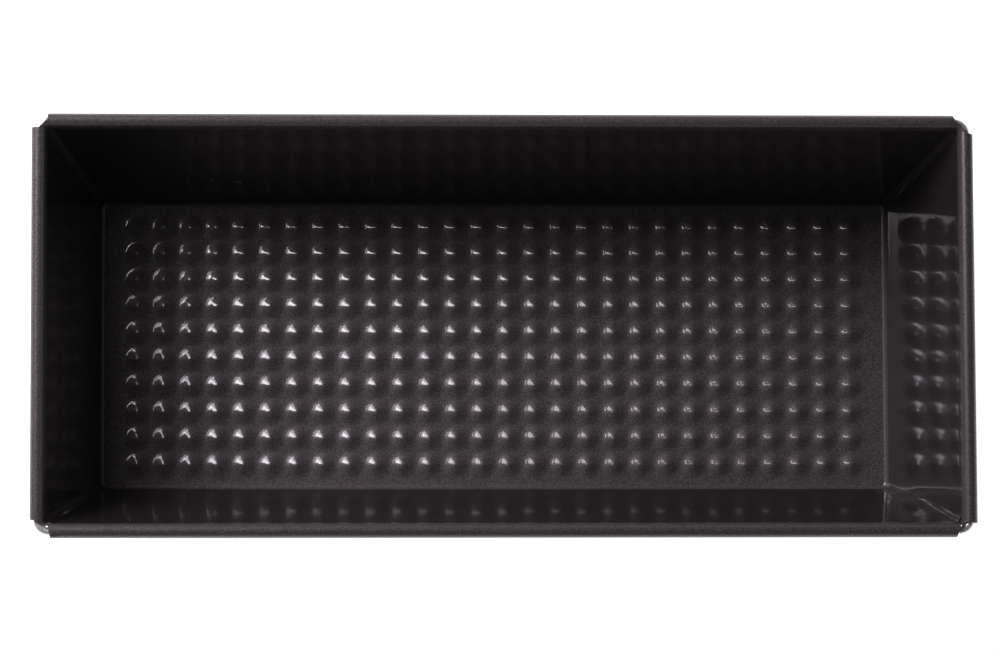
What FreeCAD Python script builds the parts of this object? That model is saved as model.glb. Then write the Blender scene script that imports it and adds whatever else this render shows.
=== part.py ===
"""Folded sheet-steel loaf pan: one coated sheet body and the steel wire rolled into its rim.

Frame: origin under the middle of the floor, +Z up, +X along the length.  Millimetres and degrees.
"""
import math
import os

import FreeCAD
import Part
import Sketcher
from FreeCAD import Placement, Rotation, Vector

DIMENSIONS = {
    # overall sizes
    "rim_length": 300.0,        # inside, between the two end curls
    "rim_width": 130.0,         # inside, between the two long curls
    "overall_height": 75.0,     # table to the top of the curls
    "wall_taper": 12.8,         # lean of every wall from vertical
    # sheet
    "sheet_thickness": 0.6,
    "corner_bend": 2.4,         # inside radius where two walls meet
    "corner_fold": 1.2,         # outside radius where a long wall turns into its gusset
    "floor_bend": 1.2,          # inside radius where the floor meets a wall
    # rim curl and wire
    "curl_wrap": 300.0,         # how far the sheet goes round the wire
    "curl_clearance": 0.4,      # round the wire, between it and the inside of the curl
    "long_curl_gap": 1.7,       # from the end of a long curl to the inside of the end curl
    "end_curl_gap": 1.1,        # from the end of an end curl to the inside of the long curl
    "wire_diameter": 2.6,
    "wire_seat_gap": 0.05,      # between the wire and the bottom of the curl
    "wire_corner_gap": 0.205,   # between the wire's bend and the sheet's corner
    # raised nubs of the floor
    "nub_pitch": 9.0,
    "nub_height": 1.4,
    "nub_land": 0.4,            # flat floor left between two nubs
    "nub_tip": 0.7,             # radius of the rounded tip
    "nub_end_margin": 12.0,     # least distance from the last nub's centre to an end wall
    "nub_side_margin": 8.0,     # least distance from the last nub's centre to a long wall
    # gussets folded flat against the outside of the end walls
    "layer_gap": 0.1,           # between two folded layers
    "gusset_foot": 3.0,         # where a gusset starts, up the wall from the table
    "fold_land": 0.8,           # solid width left at each fold of a gusset
}

# Values worked out from the sheet, written as expressions of its cells.
BORE_R = "(Dims.wire_diameter / 2 + Dims.curl_clearance)"
CURL_R = f"({BORE_R} + Dims.sheet_thickness)"
CURL_Z = f"(Dims.overall_height - {CURL_R})"
RIM_EDGE_Z = f"({CURL_Z} + {CURL_R} * sin(Dims.wall_taper))"
CURL_OUT = f"({CURL_R} * cos(Dims.wall_taper))"
FLARE = f"({RIM_EDGE_Z} * tan(Dims.wall_taper) - Dims.sheet_thickness / cos(Dims.wall_taper))"
FOOT_LENGTH = f"(Dims.rim_length - 2 * {FLARE})"
FOOT_WIDTH = f"(Dims.rim_width - 2 * {FLARE})"
FLOOR_INSET = f"(({RIM_EDGE_Z} - Dims.sheet_thickness) * tan(Dims.wall_taper))"
FLOOR_LENGTH = f"(Dims.rim_length - 2 * {FLOOR_INSET})"
FLOOR_WIDTH = f"(Dims.rim_width - 2 * {FLOOR_INSET})"
WIRE_Z = f"({CURL_Z} - {BORE_R} + Dims.wire_diameter / 2 + Dims.wire_seat_gap)"
# How far the wire's centre line lies out from the wall's outside at the wire's height.
WIRE_OFF_WALL = f"({FLARE} + {CURL_OUT} - {WIRE_Z} * tan(Dims.wall_taper))"
# Two round corners, one inside the other, are this share of their radius short of the sharp corner.
CORNER_SHARE = "(1 - 1 / sqrt(2))"
WIRE_CORNER = (f"(Dims.corner_fold + ({WIRE_OFF_WALL} - (Dims.wire_diameter / 2"
               f" + Dims.wire_corner_gap) / sqrt(2)) / {CORNER_SHARE})")
NUB_RADIUS = "((Dims.nub_pitch - Dims.nub_land) / 2)"
NUB_COLUMNS = f"(floor(({FLOOR_LENGTH} - 2 * Dims.nub_end_margin) / Dims.nub_pitch) + 1)"
NUB_ROWS = f"(floor(({FLOOR_WIDTH} - 2 * Dims.nub_side_margin) / Dims.nub_pitch) + 1)"
GUSSET_LEAN = "(45 deg - 2 * atan(sin(Dims.wall_taper)))"
GUSSET_TOP = (f"({FLARE} * sin(Dims.wall_taper) + {RIM_EDGE_Z} * cos(Dims.wall_taper)"
              f" - {CURL_R} - Dims.layer_gap)")
# The layers part only where a gusset is wider than the folds at its two sides.
SLOT_FOOT = ("((Dims.corner_fold + 2 * Dims.fold_land + Dims.layer_gap)"
             f" / (tan({GUSSET_LEAN}) + sin(Dims.wall_taper)))")

# Names for the ends of a sketch's lines and arcs, and for its origin and axes.
START, END, CENTRE = 1, 2, 3
ORIGIN, X_AXIS, Y_AXIS = -1, -1, -2
ROUNDING = 0.001                # heights nearer than this are the same height

doc = FreeCAD.newDocument("loaf_pan")


def make_sheet():
    sheet = doc.addObject("Spreadsheet::Sheet", "Dims")
    for row, (alias, value) in enumerate(DIMENSIONS.items(), start=1):
        sheet.set(f"A{row}", alias)
        sheet.set(f"B{row}", repr(value))
        sheet.setAlias(f"B{row}", alias)
    doc.recompute()
    return sheet


def plane_of(body, role):
    return next(item for item in body.Origin.OriginFeatures if item.Role == role)


def add_sketch(body, name, role, offset=None):
    sketch = body.newObject("Sketcher::SketchObject", name)
    sketch.AttachmentSupport = [(plane_of(body, role), "")]
    sketch.MapMode = "FlatFace"
    if offset is not None:
        sketch.AttachmentOffset = offset
    return sketch


def value_of(expression):
    """The present value of an expression of the sheet, for a sketch's starting shape."""
    result = dims.evalExpression(expression.replace("Dims.", ""))
    return float(getattr(result, "Value", result))


def constrain(sketch, name, expression, kind, *where):
    """Adds a dimension to a sketch and ties it to an expression of the sheet."""
    value = value_of(expression)
    if kind == "Angle":
        value = math.radians(value)
    index = sketch.addConstraint(Sketcher.Constraint(kind, *where, value))
    sketch.renameConstraint(index, name)
    sketch.setExpression(f"Constraints.{name}", expression)


def join(sketch, *pairs):
    """Makes the named ends of a sketch's lines and arcs meet."""
    for first, first_end, second, second_end in pairs:
        sketch.addConstraint(Sketcher.Constraint("Coincident", first, first_end, second, second_end))


def line(start, end):
    return Part.LineSegment(Vector(*start, 0), Vector(*end, 0))


def arc(centre, radius, start_angle, end_angle):
    circle = Part.Circle(Vector(*centre, 0), Vector(0, 0, 1), radius)
    return Part.ArcOfCircle(circle, math.radians(start_angle), math.radians(end_angle))


def add_rectangle(sketch, length, width):
    """A rectangle centred on the sketch's origin."""
    x, y = value_of(length) / 2, value_of(width) / 2
    corners = [(-x, -y), (x, -y), (x, y), (-x, y)]
    for i in range(4):
        sketch.addGeometry(line(corners[i], corners[(i + 1) % 4]))
    join(sketch, *[(i, END, (i + 1) % 4, START) for i in range(4)])
    for side in (0, 2):
        sketch.addConstraint(Sketcher.Constraint("Horizontal", side))
        sketch.addConstraint(Sketcher.Constraint("Vertical", side + 1))
    sketch.addConstraint(Sketcher.Constraint("Symmetric", 0, START, 2, START, ORIGIN, START))
    constrain(sketch, "length", length, "DistanceX", 0, START, 0, END)
    constrain(sketch, "width", width, "DistanceY", 1, START, 1, END)


def edges_between(shape, low, high):
    """A shape's edges whose centre lies between two heights: pairs of name and centre."""
    edges = [(f"Edge{i}", edge.CenterOfMass) for i, edge in enumerate(shape.Edges, start=1)]
    return [(name, centre) for name, centre in edges if low < centre.z < high]


def level_edges(shape, height):
    return [name for name, centre in edges_between(shape, height - ROUNDING, height + ROUNDING)]


def upright_edges(shape, outermost):
    """The names of the four corner edges that are furthest out, or the four furthest in."""
    top = value_of(CURL_Z)
    corners = edges_between(shape, top / 3, top * 2 / 3)
    corners.sort(key=lambda item: abs(item[1].x) + abs(item[1].y), reverse=outermost)
    return [name for name, centre in corners[:4]]


def add_bends(body, name, base, names, radius):
    bend = body.newObject("PartDesign::Fillet", name)
    bend.Base = (base, names)
    bend.setExpression("Radius", radius)
    doc.recompute()
    return bend


def add_tub(body):
    """The floor and the four flared walls, up to the middle of the curls."""
    outline = add_sketch(body, "foot_outline", "XY_Plane")
    add_rectangle(outline, FOOT_LENGTH, FOOT_WIDTH)
    block = body.newObject("PartDesign::Pad", "tapered_block")
    block.Profile = outline
    block.setExpression("Length", CURL_Z)
    block.setExpression("TaperAngle", "Dims.wall_taper")
    doc.recompute()
    top = value_of(CURL_Z)

    hollow_outline = add_sketch(body, "floor_outline", "XY_Plane", Placement())
    hollow_outline.setExpression("AttachmentOffset.Base.z", "Dims.sheet_thickness")
    add_rectangle(hollow_outline, FLOOR_LENGTH, FLOOR_WIDTH)
    hollow = body.newObject("PartDesign::Pocket", "hollow")
    hollow.Profile = hollow_outline
    hollow.Reversed = True
    hollow.setExpression("Length", f"{CURL_Z} - Dims.sheet_thickness")
    hollow.setExpression("TaperAngle", "Dims.wall_taper")
    doc.recompute()
    inside, outside = value_of("Dims.sheet_thickness"), 0
    corners = add_bends(body, "inner_corner_bends", hollow, upright_edges(hollow.Shape, False),
                        "Dims.corner_bend")
    floor = add_bends(body, "inner_floor_bends", corners, level_edges(corners.Shape, inside),
                      "Dims.floor_bend")
    foot = add_bends(body, "outer_floor_bends", floor, level_edges(floor.Shape, outside),
                     "Dims.floor_bend + Dims.sheet_thickness")
    add_bends(body, "outer_corner_bends", foot, upright_edges(foot.Shape, True), "Dims.corner_fold")


def add_curl_profile(body, name, role, half_span):
    """Section of one rim: a short piece of wall and the sheet rolled outwards from its top."""
    sketch = add_sketch(body, name, role)
    centre_x = f"({half_span} + {CURL_OUT})"
    taper = value_of("Dims.wall_taper")
    wrap_end = 180 - taper - value_of("Dims.curl_wrap")
    outer, inner = value_of(CURL_R), value_of(BORE_R)
    cx, cz = value_of(centre_x), value_of(CURL_Z)

    def at(radius, angle):
        return (cx + radius * math.cos(math.radians(angle)), cz + radius * math.sin(math.radians(angle)))

    def down_wall(point):
        return (point[0] - (point[1] - cz) * math.tan(math.radians(taper)), cz)

    rim, bore = at(outer, 180 - taper), at(inner, 180 - taper)
    sketch.addGeometry(arc((cx, cz), outer, wrap_end, 180 - taper))
    sketch.addGeometry(arc((cx, cz), inner, wrap_end, 180 - taper))
    sketch.addGeometry(line(rim, down_wall(rim)))
    sketch.addGeometry(line(down_wall(rim), down_wall(bore)))
    sketch.addGeometry(line(down_wall(bore), bore))
    sketch.addGeometry(line(at(inner, wrap_end), at(outer, wrap_end)))
    outside, inside, wall_inside, foot, wall_outside, lip = range(6)
    join(sketch, (wall_inside, END, foot, START), (foot, END, wall_outside, START),
         (inside, START, lip, START), (lip, END, outside, START), (outside, CENTRE, inside, CENTRE))
    for curve, straight, end in ((outside, wall_inside, START), (inside, wall_outside, END)):
        sketch.addConstraint(Sketcher.Constraint("Tangent", curve, END, straight, end))
    sketch.addConstraint(Sketcher.Constraint("Parallel", wall_inside, wall_outside))
    sketch.addConstraint(Sketcher.Constraint("Horizontal", foot))
    sketch.addConstraint(Sketcher.Constraint("Horizontal", outside, CENTRE, wall_inside, END))
    sketch.addConstraint(Sketcher.Constraint("PointOnObject", outside, CENTRE, lip))
    constrain(sketch, "outer_radius", CURL_R, "Radius", outside)
    constrain(sketch, "inner_radius", BORE_R, "Radius", inside)
    constrain(sketch, "centre_out", centre_x, "DistanceX", ORIGIN, START, outside, CENTRE)
    constrain(sketch, "centre_up", CURL_Z, "DistanceY", ORIGIN, START, outside, CENTRE)
    constrain(sketch, "wall_lean", "-(90 deg + Dims.wall_taper * 1 deg)", "Angle", wall_inside)
    constrain(sketch, "lip_angle", "(180 deg - (Dims.wall_taper + Dims.curl_wrap) * 1 deg)", "Angle", lip)
    return sketch


def add_curls(body):
    """Four separate curls, each cut back at the corners, in two mirrored pairs."""
    sides = (("long_curl", "YZ_Plane", "(Dims.rim_width / 2)", "XZ_Plane",
              "(Dims.rim_length - 2 * Dims.long_curl_gap)"),
             ("end_curl", "XZ_Plane", "(Dims.rim_length / 2)", "YZ_Plane",
              "(Dims.rim_width - 2 * Dims.end_curl_gap)"))
    for name, section_plane, half_span, mirror_plane, length in sides:
        profile = add_curl_profile(body, name + "_section", section_plane, half_span)
        curl = body.newObject("PartDesign::Pad", name)
        curl.Profile = profile
        curl.SideType = "Symmetric"
        curl.setExpression("Length", length)
        doc.recompute()
        pair = body.newObject("PartDesign::Mirrored", name + "_pair")
        pair.Originals = [curl]
        pair.MirrorPlane = (plane_of(body, mirror_plane), [""])
        body.Tip = pair
        doc.recompute()


def add_nub_profile(body, name, drop, reach):
    """Half section of one nub: a cone with a rounded tip, closed `reach` below its foot."""
    sketch = add_sketch(body, name, "XZ_Plane", Placement())
    sketch.setExpression("AttachmentOffset.Base.x", f"-({NUB_COLUMNS} - 1) * Dims.nub_pitch / 2")
    sketch.setExpression("AttachmentOffset.Base.y", drop)
    sketch.setExpression("AttachmentOffset.Base.z", f"({NUB_ROWS} - 1) * Dims.nub_pitch / 2")
    radius, height = value_of(NUB_RADIUS), value_of("Dims.nub_height")
    tip, below = value_of("Dims.nub_tip"), value_of(reach)
    slope = 2 * math.atan2(height, radius) * 0.9
    touch = (tip * math.sin(slope), height - tip + tip * math.cos(slope))
    sketch.addGeometry(line((0, -below), (radius, -below)))
    sketch.addGeometry(line((radius, -below), (radius, 0)))
    sketch.addGeometry(line((radius, 0), touch))
    sketch.addGeometry(arc((0, height - tip), tip, 90 - math.degrees(slope), 90))
    sketch.addGeometry(line((0, height), (0, -below)))
    bottom, side, flank, top, axis = range(5)
    join(sketch, (bottom, END, side, START), (side, END, flank, START), (top, END, axis, START),
         (axis, END, bottom, START))
    sketch.addConstraint(Sketcher.Constraint("Tangent", flank, END, top, START))
    sketch.addConstraint(Sketcher.Constraint("Horizontal", bottom))
    sketch.addConstraint(Sketcher.Constraint("Vertical", side))
    sketch.addConstraint(Sketcher.Constraint("PointOnObject", top, CENTRE, Y_AXIS))
    sketch.addConstraint(Sketcher.Constraint("PointOnObject", axis, START, Y_AXIS))
    sketch.addConstraint(Sketcher.Constraint("PointOnObject", axis, END, Y_AXIS))
    sketch.addConstraint(Sketcher.Constraint("PointOnObject", flank, START, X_AXIS))
    constrain(sketch, "radius", NUB_RADIUS, "DistanceX", ORIGIN, START, flank, START)
    constrain(sketch, "tip", "Dims.nub_tip", "Radius", top)
    constrain(sketch, "height", "Dims.nub_height", "DistanceY", ORIGIN, START, top, END)
    constrain(sketch, "reach", reach, "DistanceY", side, START, side, END)
    return sketch


def add_nubs(body):
    """Pressed nubs: each stands up from the floor and is hollow underneath."""
    raised = body.newObject("PartDesign::Revolution", "nub")
    raised.Profile = add_nub_profile(body, "nub_section", "Dims.sheet_thickness",
                                     "(Dims.sheet_thickness / 2)")
    hollow = body.newObject("PartDesign::Groove", "nub_hollow")
    hollow.Profile = add_nub_profile(body, "nub_hollow_section", "0 mm", "(Dims.sheet_thickness)")
    for feature in (raised, hollow):
        feature.ReferenceAxis = (feature.Profile[0], ["V_Axis"])
        feature.Angle = 360
    doc.recompute()
    grid = body.newObject("PartDesign::LinearPattern", "nub_grid")
    grid.Originals = [raised, hollow]
    grid.Direction = (plane_of(body, "X_Axis"), [""])
    grid.Direction2 = (plane_of(body, "Y_Axis"), [""])
    grid.setExpression("Occurrences", NUB_COLUMNS)
    grid.setExpression("Occurrences2", NUB_ROWS)
    grid.setExpression("Length", f"({NUB_COLUMNS} - 1) * Dims.nub_pitch")
    grid.setExpression("Length2", f"({NUB_ROWS} - 1) * Dims.nub_pitch")
    body.Tip = grid
    doc.recompute()


def add_gusset_sketch(body, name, offset, inner, outer, foot, top):
    """A four-sided outline on the outside of the +X wall, between two lines that lean with the
    corner and with the folded edge, from height `foot` to height `top` up the wall.
    `inner` and `outer` shift the folded side and the corner side outwards."""
    tilt = Placement(Vector(0, 0, 0), Rotation(Vector(1, 0, 0), value_of("Dims.wall_taper")))
    sketch = add_sketch(body, name, "YZ_Plane", tilt)
    sketch.setExpression("AttachmentOffset.Rotation.Angle", "Dims.wall_taper * 1 deg")
    sketch.setExpression("AttachmentOffset.Base.z", f"{FOOT_LENGTH} / 2 + {offset} * cos(Dims.wall_taper)")
    sketch.setExpression("AttachmentOffset.Base.y", f"-{offset} * sin(Dims.wall_taper)")
    folded = f"({FOOT_WIDTH} / 2 - {inner} - %s * tan({GUSSET_LEAN}))"
    corner = f"({FOOT_WIDTH} / 2 + {outer} + %s * sin(Dims.wall_taper))"
    ends = ((folded % foot, foot), (corner % foot, foot), (corner % top, top), (folded % top, top))
    points = [(value_of(across), value_of(up)) for across, up in ends]
    for i in range(4):
        sketch.addGeometry(line(points[i], points[(i + 1) % 4]))
    join(sketch, *[(i, END, (i + 1) % 4, START) for i in range(4)])
    for i, (across, up) in enumerate(ends):
        constrain(sketch, f"across{i}", across, "DistanceX", ORIGIN, START, i, START)
        constrain(sketch, f"up{i}", up, "DistanceY", ORIGIN, START, i, START)
    return sketch


def add_gussets(body):
    """At each corner the spare sheet is a triangle folded double and laid on the end wall."""
    both = "(2 * (Dims.sheet_thickness + Dims.layer_gap))"
    step = "(Dims.sheet_thickness + Dims.layer_gap)"
    clear = "(Dims.sheet_thickness)"
    past_top = f"({GUSSET_TOP} + {clear})"
    flap = body.newObject("PartDesign::Pad", "gusset")
    flap.Profile = add_gusset_sketch(body, "gusset_outline", "0", "0", "0", "Dims.gusset_foot", GUSSET_TOP)
    flap.setExpression("Length", both)
    features = [flap]
    slots = (("wall_slot", "0", clear, "(-Dims.corner_fold - Dims.fold_land)"),
             ("fold_slot", step, "(-Dims.fold_land)", "(-Dims.corner_fold - Dims.fold_land)"))
    for name, offset, inner, outer in slots:
        slot = body.newObject("PartDesign::Pocket", name)
        slot.Profile = add_gusset_sketch(body, name + "_outline", offset, inner, outer, SLOT_FOOT, past_top)
        slot.Reversed = True
        slot.setExpression("Length", "Dims.layer_gap")
        features.append(slot)
    doc.recompute()
    corners = body.newObject("PartDesign::MultiTransform", "gusset_corners")
    corners.Originals = features
    mirrors = []
    for name, role in (("gusset_ends", "YZ_Plane"), ("gusset_sides", "XZ_Plane")):
        mirror = body.newObject("PartDesign::Mirrored", name)
        mirror.MirrorPlane = (plane_of(body, role), [""])
        mirrors.append(mirror)
    corners.Transformations = mirrors
    body.Tip = corners
    doc.recompute()
    add_bends(body, "gusset_bends", corners, upright_edges(corners.Shape, True), "Dims.corner_fold")


def add_rounded_rectangle(sketch, length, width, radius):
    """A rounded rectangle centred on the sketch's origin: four straights and four arcs."""
    x, y, r = value_of(length) / 2, value_of(width) / 2, value_of(radius)
    sketch.addGeometry(line((r - x, -y), (x - r, -y)))
    sketch.addGeometry(arc((x - r, r - y), r, 270, 360))
    sketch.addGeometry(line((x, r - y), (x, y - r)))
    sketch.addGeometry(arc((x - r, y - r), r, 0, 90))
    sketch.addGeometry(line((x - r, y), (r - x, y)))
    sketch.addGeometry(arc((r - x, y - r), r, 90, 180))
    sketch.addGeometry(line((-x, y - r), (-x, r - y)))
    sketch.addGeometry(arc((r - x, r - y), r, 180, 270))
    for i in range(8):
        sketch.addConstraint(Sketcher.Constraint("Tangent", i, END, (i + 1) % 8, START))
    for side in (0, 4):
        sketch.addConstraint(Sketcher.Constraint("Horizontal", side))
        sketch.addConstraint(Sketcher.Constraint("Vertical", side + 2))
    for corner in (3, 5, 7):
        sketch.addConstraint(Sketcher.Constraint("Equal", 1, corner))
    sketch.addConstraint(Sketcher.Constraint("Symmetric", 1, CENTRE, 5, CENTRE, ORIGIN, START))
    constrain(sketch, "corner", radius, "Radius", 1)
    constrain(sketch, "length", length, "DistanceX", 6, END, 2, START)
    constrain(sketch, "width", width, "DistanceY", 0, END, 4, START)


def add_wire():
    """One closed ring of round wire that lies inside the four curls and shows at the corners."""
    body = doc.addObject("PartDesign::Body", "rim_wire")
    path = add_sketch(body, "wire_path", "XY_Plane", Placement())
    path.setExpression("AttachmentOffset.Base.z", WIRE_Z)
    length = f"(Dims.rim_length + 2 * {CURL_OUT})"
    width = f"(Dims.rim_width + 2 * {CURL_OUT})"
    add_rounded_rectangle(path, length, width, WIRE_CORNER)
    section = add_sketch(body, "wire_section", "YZ_Plane", Placement())
    section.setExpression("AttachmentOffset.Base.z", f"{WIRE_CORNER} - {length} / 2")
    section.setExpression("AttachmentOffset.Base.y", WIRE_Z)
    section.setExpression("AttachmentOffset.Base.x", f"-{width} / 2")
    section.addGeometry(Part.Circle(Vector(0, 0, 0), Vector(0, 0, 1), value_of("Dims.wire_diameter") / 2))
    join(section, (0, CENTRE, ORIGIN, START))
    constrain(section, "radius", "Dims.wire_diameter / 2", "Radius", 0)
    wire = body.newObject("PartDesign::AdditivePipe", "wire_ring")
    wire.Profile = section
    wire.Spine = (path, [""])
    doc.recompute()
    return body


def add_pan():
    """The whole sheet: floor, walls, nubs, gussets and curls are one folded blank."""
    body = doc.addObject("PartDesign::Body", "pan_body")
    add_tub(body)
    add_gussets(body)
    add_curls(body)
    add_nubs(body)
    return body


def check(parts):
    """Stops the build if any object failed or a part's shape is not one sound solid."""
    failed = [item.Name for item in doc.Objects if "Invalid" in item.State or "Error" in item.State]
    if failed:
        raise RuntimeError(f"objects that did not build: {failed}")
    for part in parts:
        shape = part.Shape
        if shape.isNull() or not shape.isValid() or len(shape.Solids) != 1:
            raise RuntimeError(f"{part.Label} is not one valid solid")


def export(parts):
    os.makedirs("parts", exist_ok=True)
    for part in parts:
        part.Shape.exportStep(os.path.join("parts", part.Label + ".step"))
        box = part.Shape.optimalBoundingBox()
        print(part.Label, f"{part.Shape.Volume:.1f} mm3", box)


dims = make_sheet()
PARTS = [add_pan(), add_wire()]
doc.recompute()
check(PARTS)
export(PARTS)
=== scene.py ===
import math

import bpy
import numpy as np
from mathutils import Euler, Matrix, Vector


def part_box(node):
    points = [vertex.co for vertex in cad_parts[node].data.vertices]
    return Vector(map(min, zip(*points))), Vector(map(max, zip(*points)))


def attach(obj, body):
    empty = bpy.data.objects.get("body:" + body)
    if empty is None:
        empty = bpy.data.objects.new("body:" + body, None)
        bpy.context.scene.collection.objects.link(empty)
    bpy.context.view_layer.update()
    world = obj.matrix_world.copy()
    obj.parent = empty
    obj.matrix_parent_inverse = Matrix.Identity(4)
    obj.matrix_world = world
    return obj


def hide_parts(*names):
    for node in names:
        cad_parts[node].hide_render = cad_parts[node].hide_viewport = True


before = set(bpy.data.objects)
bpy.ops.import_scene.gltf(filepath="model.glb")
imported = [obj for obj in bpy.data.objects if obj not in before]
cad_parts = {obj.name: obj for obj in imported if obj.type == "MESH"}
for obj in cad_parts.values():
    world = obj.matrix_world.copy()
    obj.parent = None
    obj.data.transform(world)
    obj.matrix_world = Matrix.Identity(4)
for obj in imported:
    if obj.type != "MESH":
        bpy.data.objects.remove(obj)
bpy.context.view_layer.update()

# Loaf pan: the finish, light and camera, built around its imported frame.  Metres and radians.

MM = 0.001
pan_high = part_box("pan_body")[1]
wire_low, wire_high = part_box("rim_wire")

# Sizes of the sheet, as in the CAD part.
SHEET = 0.6 * MM
TAPER = math.radians(12.8)
CURL_R = 2.3 * MM
CURL_WRAP = math.radians(300)
FLOOR_BEND = 1.2 * MM
WIRE_CORNER = 3.8 * MM
NUB_PITCH = 9 * MM
NUB_COLUMNS, NUB_ROWS = 28, 10
NUB_HEIGHT = 1.4 * MM
NUB_REACH = 4.5 * MM

# Finer shape, on the visual alone.
CORNER_BEND = 2.4 * MM         # between two walls, at the floor
RIM_BEND = 1.2 * MM            # between two walls, at the rim
NUB_TIP = 0.35 * MM
NUB_STRAIGHT = 3.0 * MM        # how far out a nub's flank is straight
WAVE = 0.035 * MM              # how uneven the walls are
GUSSET_DEPTH = 1.4 * MM        # two layers of sheet and the gaps between them
GUSSET_BEND = 1.2 * MM
GUSSET_START = 2.2 * MM        # height of the lowest section of a gusset
GUSSET_CLEARANCE = 0.1 * MM    # below the curl
SHARP_EDGE, SHARP_WIRE = 50, 60

# How far each curl stops short of the rim's inside corner, first on its inner and then on its outer
# side, at its start and at its end counter-clockwise round the pan: front, right, back, left.
CURL_ENDS = np.array([[[1.2, 2.2], [1.0, 2.4]], [[0.4, 0.1], [0.8, 2.0]],
                      [[0.5, 2.2], [0.4, 0.9]], [[0.4, 0.2], [0.4, 1.6]]]) * MM

# How far the sheet turns over the wire in the middle of each corner, and how much further beside
# the curls, in degrees: front right, back right, back left, front left.
WEB_REACH = (20, 50, 63, 20)
WEB_SPREAD = 45

# Fineness of the meshes.
NUB_GRID = np.array([0.4, 1.1, 2.1, 3.3, 4.5]) * MM     # grid lines beside the middle of each nub
END_MARGIN_STEPS, SIDE_MARGIN_STEPS = 3, 1
ARC_STEPS = 16
FLOOR_BEND_STEPS = 6
WALL_STEPS = 14
CURL_STEPS = 26
WEB_STEPS = 9
GUSSET_STEPS = 23
WIRE_SIDES = 24
WIRE_CORNER_STEPS = 16

# The rim's inside edge and the flat of the floor, worked out from the frame's box.
RIM_X = pan_high.x - CURL_R * (1 + math.cos(TAPER))
RIM_Y = pan_high.y - CURL_R * (1 + math.cos(TAPER))
RIM_Z = pan_high.z - CURL_R * (1 - math.sin(TAPER))
BEND_TURN = math.pi / 2 - TAPER
BEND_REACH = FLOOR_BEND * math.tan(BEND_TURN / 2)
FLAT_INSET = (RIM_Z - SHEET) * math.tan(TAPER) + BEND_REACH
FLAT_X, FLAT_Y = RIM_X - FLAT_INSET, RIM_Y - FLAT_INSET
FLAT_CORNER = CORNER_BEND - BEND_REACH

# Colours, each as a darker and a lighter tone of one finish.
SATIN = ((0.078, 0.069, 0.069), (0.222, 0.198, 0.198))
# Painted shade: the walls have the floor's coating, but are given these darker tones.
SHADED_WALL_TONES = ((0.016, 0.013, 0.014), (0.042, 0.036, 0.038))
STEEL = ((0.84, 0.84, 0.85), (0.94, 0.94, 0.95))

# Cells to the metre of the noise in the finishes.
FLECK, PATCH, SMEAR = 2500, 45, 60
WIRE_LINES, WIRE_PATCH = 1500, 120

# One soft box, upper left of the pan, as overlapping panels: place, aim, size and power.
LILAC = (1.0, 0.94, 1.02)
SOFT_BOX = {
    "key": ((-0.54, 0.44, 0.65), (-0.05, 0.02, 0.02), (0.42, 0.42), 3.6),
    "key_core": ((-0.64, 0.42, 0.64), (-0.15, 0.02, 0.02), (0.22, 0.40), 2.6),
    "key_edge": ((-0.389, 0.250, 0.858), (0.101, -0.170, 0.228), (0.25, 0.05), 0.30),
}
OVERHEAD, HORIZON = 0.02, 0.34                # the world's strength
HORIZON_TOP, OVERHEAD_FROM = 0.25, 0.60       # as the height of a direction of length 1

# Almost straight above the pan, a little to the front and left, with a long lens.
CAMERA_PLACE = (-0.0762, -0.1654, 1.7198)
CAMERA_TURN = (0.1002, -0.0449, -0.0038)
CAMERA_LENS = 182.5
STAGE_HALF = 3.0


# ---------------------------------------------------------------- mesh helpers

def nub_lines(count, half_span, margin_steps):
    """Grid lines across the floor, closer together near the tip of each nub."""
    steps = np.concatenate([-NUB_GRID[::-1], [0], NUB_GRID[:-1]])
    centres = (np.arange(count) - (count - 1) / 2) * NUB_PITCH
    lines = (centres[:, None] + steps[None, :]).ravel()
    margin = np.linspace(count * NUB_PITCH / 2, half_span, margin_steps + 1)
    return np.concatenate([-margin[:0:-1], lines, margin])


def nub_height(x, y):
    """Height of the pressed floor: straight-flanked nubs with round tips and eased feet on a square grid."""
    def off_centre(value, count):
        centre = (count - 1) / 2
        index = np.clip(np.round(value / NUB_PITCH + centre), 0, count - 1)
        return value - (index - centre) * NUB_PITCH
    radius = np.hypot(off_centre(x, NUB_COLUMNS), off_centre(y, NUB_ROWS))
    radius = np.hypot(radius, NUB_TIP) - NUB_TIP
    slope = 2 * NUB_HEIGHT / (NUB_REACH + NUB_STRAIGHT)
    foot = np.clip((radius - NUB_STRAIGHT) / (NUB_REACH - NUB_STRAIGHT), 0, 1)
    eased = (NUB_REACH - NUB_STRAIGHT) * ((1 - foot) / 2 - np.sin(np.pi * foot) / (2 * np.pi))
    return slope * (np.maximum(NUB_STRAIGHT - radius, 0) + eased)


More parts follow.
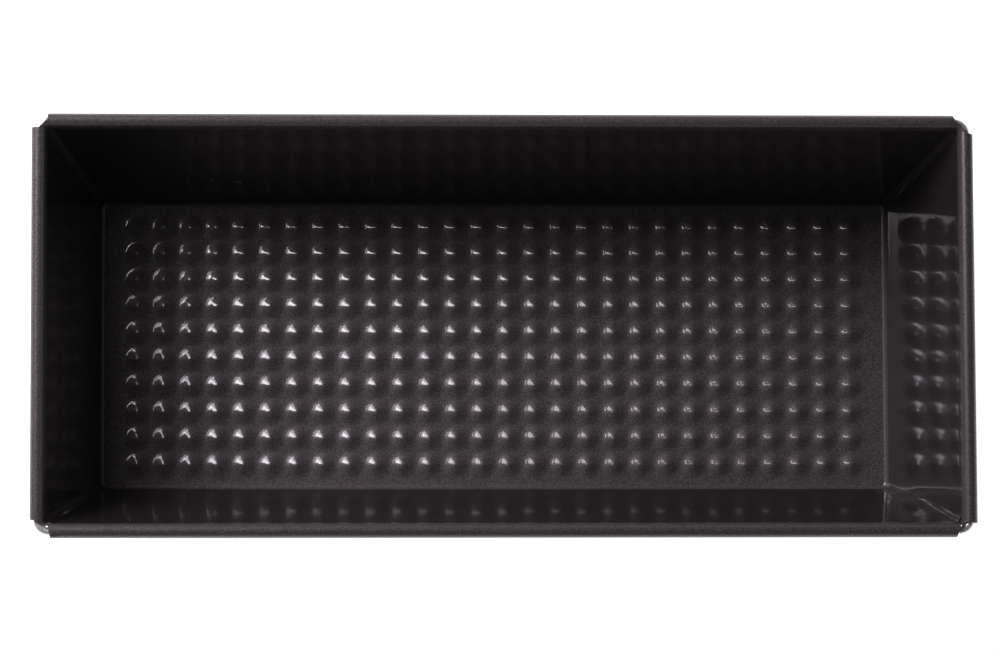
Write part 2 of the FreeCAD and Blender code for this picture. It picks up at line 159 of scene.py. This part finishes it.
class Ring:
    """Columns round the pan: each is a point of the inner rectangle and an outward direction.
    side is 0 to 3 along the front, right, back and left, and -1 to -4 in the corner that follows."""

    def __init__(self, xs, ys, arc_steps):
        across, up, angle, sides = [], [], [], []
        lines = (xs / xs[-1], ys / ys[-1], xs / xs[-1], ys / ys[-1])
        for side, line in enumerate(lines):
            start = side * math.pi / 2 - math.pi / 2
            along = line[:-1] if side < 2 else -line[:-1]
            fixed = np.full(len(along), 1.0 if side in (1, 2) else -1.0)
            across += list(along if side % 2 == 0 else fixed)
            up += list(fixed if side % 2 == 0 else along)
            angle += [start] * len(along)
            sides += [side] * len(along)
            corner = ((1, -1), (1, 1), (-1, 1), (-1, -1))[side]
            across += [corner[0]] * arc_steps
            up += [corner[1]] * arc_steps
            angle += list(start + np.arange(arc_steps) / arc_steps * math.pi / 2)
            sides += [-1 - side] * arc_steps
        self.across, self.up = np.array(across, float), np.array(up, float)
        self.out = np.stack([np.cos(angle), np.sin(angle)], axis=1)
        self.side = np.array(sides)

    def points(self, half_x, half_y, radius, height):
        """The columns' points on a rounded rectangle at one height."""
        x = self.across * (half_x - radius) + self.out[:, 0] * radius
        y = self.up * (half_y - radius) + self.out[:, 1] * radius
        return np.stack([x, y, np.full(len(x), height)], axis=1)

    def columns(self, side):
        """The columns of one side or corner, with the one that comes after them."""
        first = int(np.argmax(self.side == side))
        count = int(np.sum(self.side == side)) + 1
        return np.arange(first, first + count) % len(self.side)


class Skin:
    """Vertices and faces of a surface, added part by part."""

    def __init__(self):
        self.points, self.faces, self.count = [], [], 0

    def add(self, points):
        points = np.asarray(points, float)
        first = self.count
        self.points.append(points)
        self.count += len(points)
        return first + np.arange(len(points))

    def bridge(self, low, high, closed=False):
        """Four-sided faces between two rows of vertices."""
        if closed:
            low, high = np.append(low, low[0]), np.append(high, high[0])
        for i in range(len(low) - 1):
            self.faces.append((low[i], low[i + 1], high[i + 1], high[i]))

    def mesh(self, name):
        mesh = bpy.data.meshes.new(name)
        faces = [tuple(int(v) for v in face) for face in self.faces]
        mesh.from_pydata(np.concatenate(self.points).tolist(), [], faces)
        mesh.update()
        return mesh


def smooth(mesh, sharp_degrees):
    mesh.shade_smooth()
    mesh.set_sharp_from_angle(angle=math.radians(sharp_degrees))


def add_object(name, mesh, material):
    item = bpy.data.objects.new(name, mesh)
    bpy.context.scene.collection.objects.link(item)
    mesh.materials.clear()
    mesh.materials.append(material)
    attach(item, "root")
    return item


# ---------------------------------------------------------------- the folded sheet

def wall_wave(x, y, z):
    """Faint unevenness of the bent sheet, so that reflections in the walls are not dead straight."""
    along = x * 71 + y * 93
    return WAVE * (np.sin(along + z * 60) + 0.6 * np.sin(2.3 * along - z * 110 + 1.0))


def curl_section(turn):
    """How far out from the rim's inside edge, and how far up from it, the curl's skin lies."""
    start = math.pi - TAPER
    angle = start - turn
    out = CURL_R * (np.cos(angle) - math.cos(start))
    up = CURL_R * (np.sin(angle) - math.sin(start))
    return out, up


def add_floor_grid(skin, xs, ys):
    gx, gy = np.meshgrid(xs, ys)
    grid = np.stack([gx, gy, SHEET + nub_height(gx, gy)], axis=2).reshape(-1, 3)
    ids = skin.add(grid).reshape(len(ys), len(xs))
    for row in range(len(ys) - 1):
        skin.bridge(ids[row], ids[row + 1])
    return ids


def add_floor_border(skin, xs, ys, ids):
    """The flat border between the grid and the first bend; returns its outer edge."""
    edge = skin.add(Ring(xs, ys, ARC_STEPS).points(FLAT_X, FLAT_Y, FLAT_CORNER, SHEET))
    at = 0
    for inner in (ids[0], ids[:, -1], ids[-1, ::-1], ids[::-1, 0]):
        span = len(inner)
        skin.bridge(np.take(edge, range(at, at + span), mode="wrap"), inner)
        corner = np.take(edge, range(at + span - 1, at + span + ARC_STEPS), mode="wrap")
        for i in range(ARC_STEPS):
            skin.faces.append((inner[-1], corner[i], corner[i + 1]))
        at += span - 1 + ARC_STEPS
    return edge


def wall_levels():
    """Each row of the walls: how far out of the floor's flat, how high, and its corner's radius."""
    levels = []
    for turn in np.linspace(0, BEND_TURN, FLOOR_BEND_STEPS + 1)[1:]:
        radius = FLAT_CORNER + BEND_REACH * math.sin(turn) / math.sin(BEND_TURN)
        levels.append((FLOOR_BEND * math.sin(turn), SHEET + FLOOR_BEND * (1 - math.cos(turn)), radius))
    bend_out, bend_z = levels[-1][:2]
    for share in np.linspace(0, 1, WALL_STEPS + 1)[1:]:
        z = bend_z + (RIM_Z - bend_z) * share
        radius = CORNER_BEND + (RIM_BEND - CORNER_BEND) * share ** 2
        levels.append((bend_out + (z - bend_z) * math.tan(TAPER), z, radius))
    return levels


def add_walls(skin, ring, edge):
    """The walls' columns are every second one of the floor's; returns the rim's row."""
    levels = wall_levels()
    previous = None
    for number, (out, z, radius) in enumerate(levels):
        points = ring.points(FLAT_X + out, FLAT_Y + out, radius, z)
        if FLOOR_BEND_STEPS < number < len(levels) - 1:
            shift = wall_wave(points[:, 0], points[:, 1], points[:, 2])
            points[:, :2] += ring.out * shift[:, None]
        row = skin.add(points)
        if previous is None:
            for i in range(len(row)):
                fine = np.take(edge, (2 * i, 2 * i + 1, 2 * i + 2), mode="wrap")
                a, b = row[i], row[(i + 1) % len(row)]
                skin.faces += [(fine[1], fine[0], a), (b, fine[1], a), (fine[2], fine[1], b)]
        else:
            skin.bridge(row, previous, closed=True)
        previous = row
    return previous


def add_curls(skin, ring, rim):
    """Four rolled rims, each with slanting ends that stop near the corners."""
    for side in range(4):
        columns = ring.columns(side)
        level = side % 2 == 0
        rim_half, rim_out = (RIM_X, RIM_Y) if level else (RIM_Y, RIM_X)
        along = (ring.across if level else ring.up)[columns] * (rim_half - RIM_BEND)
        along_dir = np.array([1.0, 0.0] if level else [0.0, 1.0])
        out_dir = np.array(((0, -1), (1, 0), (0, 1), (-1, 0))[side], float)
        # the start lies against this direction, and the end along it
        ends = np.sign(along[-1]) * np.array([1, -1])
        inner, outer = CURL_ENDS[side, :, 0], CURL_ENDS[side, :, 1]
        first, last = ends * (inner - rim_half)
        share = (np.concatenate([[first], along, [last]]) - first) / (last - first)
        previous = None
        for turn in np.linspace(0, CURL_WRAP, CURL_STEPS + 1):
            push, lift = curl_section(turn)
            short = inner + (outer - inner) * push / (2 * CURL_R)
            start, end = ends * (short - rim_half)
            flat = (start + (end - start) * share)[:, None] * along_dir + (rim_out + push) * out_dir
            points = np.column_stack([flat, np.full(len(flat), RIM_Z + lift)])
            if previous is None:
                tails = skin.add(points[[0, -1]])
                row = np.concatenate([[tails[0]], rim[columns], [tails[1]]])
            else:
                row = skin.add(points)
                skin.bridge(row, previous)
            previous = row


def add_corner_webs(skin, ring, rim):
    """Between two curls the sheet only starts to turn over the wire and is trimmed across the corner."""
    for side in range(4):
        columns = ring.columns(-1 - side)
        share = np.linspace(-1, 1, len(columns))
        reach = np.radians(WEB_REACH[side] + WEB_SPREAD * share ** 2)
        points = ring.points(RIM_X, RIM_Y, RIM_BEND, RIM_Z)[columns]
        previous = rim[columns][1:-1]
        for step in np.linspace(0, 1, WEB_STEPS + 1)[1:]:
            push, lift = curl_section(reach * step)
            moved = points.copy()
            moved[:, :2] += ring.out[columns] * push[:, None]
            moved[:, 2] += lift
            row = skin.add(moved[1:-1])
            skin.bridge(row, previous)
            previous = row


def build_sheet():
    """The inner face of the sheet: floor, walls, curls and the webs between the curls."""
    xs = nub_lines(NUB_COLUMNS, FLAT_X - FLAT_CORNER, END_MARGIN_STEPS)
    ys = nub_lines(NUB_ROWS, FLAT_Y - FLAT_CORNER, SIDE_MARGIN_STEPS)
    skin = Skin()
    ids = add_floor_grid(skin, xs, ys)
    edge = add_floor_border(skin, xs, ys, ids)
    ring = Ring(xs[::2], ys[::2], ARC_STEPS // 2)
    rim = add_walls(skin, ring, edge)
    add_curls(skin, ring, rim)
    add_corner_webs(skin, ring, rim)
    return skin


def solidified(skin, name):
    """The skin given the sheet's thickness on its outer side, as one plain mesh."""
    mesh = skin.mesh(name + "_skin")
    item = bpy.data.objects.new(name + "_skin", mesh)
    bpy.context.scene.collection.objects.link(item)
    solid = item.modifiers.new("thickness", "SOLIDIFY")
    solid.thickness = SHEET
    solid.offset = -1
    solid.use_quality_normals = True
    ready = bpy.context.evaluated_depsgraph_get()
    final = bpy.data.meshes.new_from_object(item.evaluated_get(ready))
    final.name = name
    bpy.data.objects.remove(item)
    bpy.data.meshes.remove(mesh)
    smooth(final, SHARP_EDGE)
    return final


# ---------------------------------------------------------------- gussets

def gusset_outline(width, depth):
    """Section of one gusset, from the long wall round its folded layers back to the end wall.
    First value: out from the end wall's outside face; second: in from the long wall's outside face."""
    fold = depth / 2
    bend = min(GUSSET_BEND, depth)
    points = [(-CORNER_BEND - SHEET, 0.0)]
    for a in np.linspace(0, math.pi / 2, 7):
        points.append((depth - bend + bend * math.sin(a), bend - bend * math.cos(a)))
    for a in np.linspace(math.pi / 2, -math.pi / 2, 9):
        points.append((fold + fold * math.sin(a), width - fold + fold * math.cos(a)))
    points.append((-0.5 * SHEET, CORNER_BEND + SHEET))
    points.append((-CORNER_BEND * 0.7, CORNER_BEND * 0.45))
    return points


def gusset_size(up):
    """Width and depth of a gusset at a height up the slanting corner: it grows from nothing at its foot."""
    lean = math.pi / 4 - 2 * math.atan(math.sin(TAPER))
    width = up * (math.tan(lean) + math.sin(TAPER)) + 0.6 * MM
    ease = min(1.0, (up - 1.0 * MM) / (9 * MM))
    depth = GUSSET_DEPTH * (ease * ease * (3 - 2 * ease))
    return max(width, depth + 0.7 * MM), depth


def build_gussets():
    skin = Skin()
    outside = SHEET / math.cos(TAPER)
    foot_x = RIM_X - RIM_Z * math.tan(TAPER) + outside
    foot_y = RIM_Y - RIM_Z * math.tan(TAPER) + outside
    rim_up = (RIM_X - foot_x) * math.sin(TAPER) + RIM_Z * math.cos(TAPER)
    top = rim_up - CURL_R - GUSSET_CLEARANCE
    for sx, sy in ((1, 1), (1, -1), (-1, 1), (-1, -1)):
        turned = sx * sy > 0
        previous = None
        for up in np.linspace(GUSSET_START, top, GUSSET_STEPS + 1):
            row = []
            for out, across in gusset_outline(*gusset_size(up)):
                x = foot_x + up * math.sin(TAPER) + out * math.cos(TAPER)
                z = up * math.cos(TAPER) - out * math.sin(TAPER)
                y = foot_y + up * math.sin(TAPER) - across
                row.append((sx * x, sy * y, max(z, 0.0)))
            row = skin.add(row)
            if previous is None:
                skin.faces.append(tuple(row[::-1] if turned else row))
            elif turned:
                skin.bridge(previous, row, closed=True)
            else:
                skin.bridge(row, previous, closed=True)
            previous = row
        skin.faces.append(tuple(previous if turned else previous[::-1]))
    return skin


# ---------------------------------------------------------------- rim wire

def build_wire():
    radius = (wire_high.z - wire_low.z) / 2
    middle = (wire_high.z + wire_low.z) / 2
    centre_x, centre_y = wire_high.x - radius - WIRE_CORNER, wire_high.y - radius - WIRE_CORNER
    path, outward = [], []
    for quarter, (sx, sy) in enumerate(((1, 1), (-1, 1), (-1, -1), (1, -1))):
        for angle in (quarter + np.linspace(0, 1, WIRE_CORNER_STEPS + 1)) * math.pi / 2:
            away = (math.cos(angle), math.sin(angle))
            path.append((centre_x * sx + WIRE_CORNER * away[0], centre_y * sy + WIRE_CORNER * away[1]))
            outward.append(away)
    path, outward = np.array(path), np.array(outward)
    skin = Skin()
    rows = []
    for turn in np.arange(WIRE_SIDES) / WIRE_SIDES * 2 * math.pi:
        flat = path + outward * radius * math.cos(turn)
        height = np.full(len(path), middle + radius * math.sin(turn))
        rows.append(skin.add(np.column_stack([flat, height])))
    for i in range(WIRE_SIDES):
        skin.bridge(rows[i], rows[(i + 1) % WIRE_SIDES], closed=True)
    return skin


# ---------------------------------------------------------------- materials

def new_material(name):
    material = bpy.data.materials.new(name)
    material.use_nodes = True
    tree = material.node_tree
    shader = next(node for node in tree.nodes if node.type == "BSDF_PRINCIPLED")
    return material, tree, shader


def add_noise(tree, scale, detail=2.0, roughness=0.5, stretch=(1, 1, 1)):
    place = tree.nodes.new("ShaderNodeTexCoord")
    mapping = tree.nodes.new("ShaderNodeMapping")
    mapping.inputs["Scale"].default_value = stretch
    noise = tree.nodes.new("ShaderNodeTexNoise")
    noise.inputs["Scale"].default_value = scale
    noise.inputs["Detail"].default_value = detail
    noise.inputs["Roughness"].default_value = roughness
    tree.links.new(place.outputs["Object"], mapping.inputs["Vector"])
    tree.links.new(mapping.outputs["Vector"], noise.inputs["Vector"])
    return noise.outputs["Fac"]


def map_range(tree, value, low, high, from_low=0.0, from_high=1.0):
    node = tree.nodes.new("ShaderNodeMapRange")
    for name, number in (("From Min", from_low), ("From Max", from_high), ("To Min", low), ("To Max", high)):
        node.inputs[name].default_value = number
    tree.links.new(value, node.inputs["Value"])
    return node.outputs["Result"]


def from_noise(tree, noise, low, high):
    """A value that follows the noise, whose own values lie mostly between 0.3 and 0.7."""
    return map_range(tree, noise, low, high, 0.3, 0.7)


def calculate(tree, operation, *values):
    node = tree.nodes.new("ShaderNodeMath")
    node.operation = operation
    for number, value in enumerate(values):
        tree.links.new(value, node.inputs[number])
    return node.outputs["Value"]


def mix_tones(tree, share, tones):
    """A colour between two tones, each a plain colour or another node's output."""
    node = tree.nodes.new("ShaderNodeMix")
    node.data_type = "RGBA"
    sockets = {item.identifier: item for item in node.inputs}
    for name, tone in zip(("A_Color", "B_Color"), tones):
        if isinstance(tone, tuple):
            sockets[name].default_value = (*tone, 1)
        else:
            tree.links.new(tone, sockets[name])
    tree.links.new(share, sockets["Factor_Float"])
    return next(item for item in node.outputs if item.identifier == "Result_Color")


def add_bump(tree, height, distance, strength, below=None):
    bump = tree.nodes.new("ShaderNodeBump")
    bump.inputs["Distance"].default_value = distance
    bump.inputs["Strength"].default_value = strength
    tree.links.new(height, bump.inputs["Height"])
    if below is not None:
        tree.links.new(below, bump.inputs["Normal"])
    return bump.outputs["Normal"]


def pan_regions(tree):
    """Shares from 0 to 1: below the curls, on the walls, and on the front wall alone."""
    place = tree.nodes.new("ShaderNodeTexCoord")
    split = tree.nodes.new("ShaderNodeSeparateXYZ")
    tree.links.new(place.outputs["Object"], split.inputs["Vector"])
    x, y, z = (split.outputs[name] for name in "XYZ")
    above_floor = map_range(tree, z, 0, 1, 2.2 * MM, 3.2 * MM)
    below_curls = map_range(tree, z, 1, 0, RIM_Z - 2.5 * MM, RIM_Z - 0.5 * MM)
    walls = calculate(tree, "MULTIPLY", above_floor, below_curls)
    between_ends = map_range(tree, calculate(tree, "ABSOLUTE", x), 1, 0, FLAT_X - 4 * MM, FLAT_X)
    ahead = map_range(tree, y, 1, 0, -FLAT_Y - 1.0 * MM, -FLAT_Y - 0.2 * MM)
    front = calculate(tree, "MULTIPLY", calculate(tree, "MULTIPLY", between_ends, ahead), walls)
    return below_curls, walls, front


def coated_steel():
    """Dark anthracite non-stick coating with a fine metallic fleck under a clear gloss.  The walls are given
    darker tones than the floor as painted shade, and the gloss is weaker on the front wall and on the curls."""
    material, tree, shader = new_material("coated_steel")
    below_curls, walls, front = pan_regions(tree)
    fleck = add_noise(tree, FLECK)
    sparkle = map_range(tree, fleck, 0, 1, 0.35, 0.75)
    # the walls take darker tones than the floor: painted shade
    tones = (mix_tones(tree, sparkle, SATIN), mix_tones(tree, sparkle, SHADED_WALL_TONES))
    tree.links.new(mix_tones(tree, walls, tones), shader.inputs["Base Color"])
    patches = from_noise(tree, add_noise(tree, PATCH, detail=4.0, roughness=0.6), 0.46, 0.54)
    roughness = calculate(tree, "MULTIPLY", patches, map_range(tree, below_curls, 0.76, 1.0))
    tree.links.new(roughness, shader.inputs["Roughness"])
    off_curls, off_front = map_range(tree, below_curls, 0.3, 1.0), map_range(tree, front, 1.0, 0.2)
    tree.links.new(calculate(tree, "MULTIPLY", off_curls, off_front), shader.inputs["Coat Weight"])
    off_walls, on_front = map_range(tree, walls, 0.4, 0.0), map_range(tree, front, 0.0, 0.4)
    tree.links.new(calculate(tree, "ADD", off_walls, on_front), shader.inputs["Metallic"])
    shader.inputs["Specular IOR Level"].default_value = 0.2
    shader.inputs["Coat Roughness"].default_value = 0.07
    shader.inputs["Coat IOR"].default_value = 1.55
    smears = add_noise(tree, SMEAR, detail=1.0, stretch=(1, 1, 30))
    drawn = add_bump(tree, smears, 0.028 * MM, 1.0)
    tree.links.new(add_bump(tree, fleck, 0.006 * MM, 0.6, drawn), shader.inputs["Normal"])
    return material


def bare_steel():
    """Drawn steel wire: bright, with fine lines and slight dulling."""
    material, tree, shader = new_material("bare_steel")
    lines = add_noise(tree, WIRE_LINES, detail=3.0)
    patches = from_noise(tree, add_noise(tree, WIRE_PATCH, detail=3.0), 0, 1)
    tree.links.new(mix_tones(tree, patches, STEEL), shader.inputs["Base Color"])
    tree.links.new(from_noise(tree, lines, 0.22, 0.36), shader.inputs["Roughness"])
    tree.links.new(add_bump(tree, lines, 0.01 * MM, 0.5), shader.inputs["Normal"])
    shader.inputs["Metallic"].default_value = 0.55
    return material


def pale_floor():
    """White, and glowing, as in a blown-out product photograph."""
    material, _, shader = new_material("pale_floor")
    shader.inputs["Base Color"].default_value = (0.93, 0.93, 0.93, 1)
    shader.inputs["Roughness"].default_value = 0.7
    shader.inputs["Emission Color"].default_value = (1, 1, 1, 1)
    shader.inputs["Emission Strength"].default_value = 1.0
    return material


# ---------------------------------------------------------------- stage

def add_floor():
    corners = [(x * STAGE_HALF, y * STAGE_HALF, 0) for x, y in ((-1, -1), (1, -1), (1, 1), (-1, 1))]
    mesh = bpy.data.meshes.new("floor")
    mesh.from_pydata(corners, [], [(0, 1, 2, 3)])
    mesh.materials.append(pale_floor())
    floor = bpy.data.objects.new("floor", mesh)
    bpy.context.scene.collection.objects.link(floor)


def add_light(name, place, aim, size, power):
    data = bpy.data.lights.new(name, "AREA")
    data.shape = "RECTANGLE"
    data.size, data.size_y = size
    data.energy = power
    data.color = LILAC
    lamp = bpy.data.objects.new(name, data)
    bpy.context.scene.collection.objects.link(lamp)
    lamp.location = place
    lamp.rotation_euler = (Vector(aim) - Vector(place)).to_track_quat("-Z", "Y").to_euler()


def add_camera():
    data = bpy.data.cameras.new("camera")
    data.lens = CAMERA_LENS
    data.sensor_width = 36.0
    data.clip_end = 20
    camera = bpy.data.objects.new("camera", data)
    bpy.context.scene.collection.objects.link(camera)
    camera.location = CAMERA_PLACE
    camera.rotation_euler = Euler(CAMERA_TURN, "XYZ")
    bpy.context.scene.camera = camera


def add_world():
    """Dark overhead and brighter near the horizon, like a white studio sweep."""
    world = bpy.data.worlds.new("studio")
    world.use_nodes = True
    tree = world.node_tree
    background = tree.nodes["Background"]
    background.inputs["Color"].default_value = (1, 1, 1, 1)
    place = tree.nodes.new("ShaderNodeTexCoord")
    split = tree.nodes.new("ShaderNodeSeparateXYZ")
    tree.links.new(place.outputs["Generated"], split.inputs["Vector"])
    level = map_range(tree, split.outputs["Z"], HORIZON, OVERHEAD, HORIZON_TOP, OVERHEAD_FROM)
    tree.links.new(level, background.inputs["Strength"])
    bpy.context.scene.world = world


# ---------------------------------------------------------------- the pan

coating = coated_steel()

pan_sheet = add_object("pan_sheet", solidified(build_sheet(), "pan_sheet"), coating)
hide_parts("pan_body")

gusset_mesh = build_gussets().mesh("corner_gussets")
smooth(gusset_mesh, SHARP_EDGE)
add_object("corner_gussets", gusset_mesh, coating)

wire_mesh = build_wire().mesh("rim_wire_ring")
smooth(wire_mesh, SHARP_WIRE)
wire_ring = add_object("rim_wire_ring", wire_mesh, bare_steel())
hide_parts("rim_wire")

add_floor()
for light, (place, aim, size, power) in SOFT_BOX.items():
    add_light(light, place, aim, size, power)
add_world()
add_camera()
bpy.context.scene.view_settings.view_transform = "Standard"
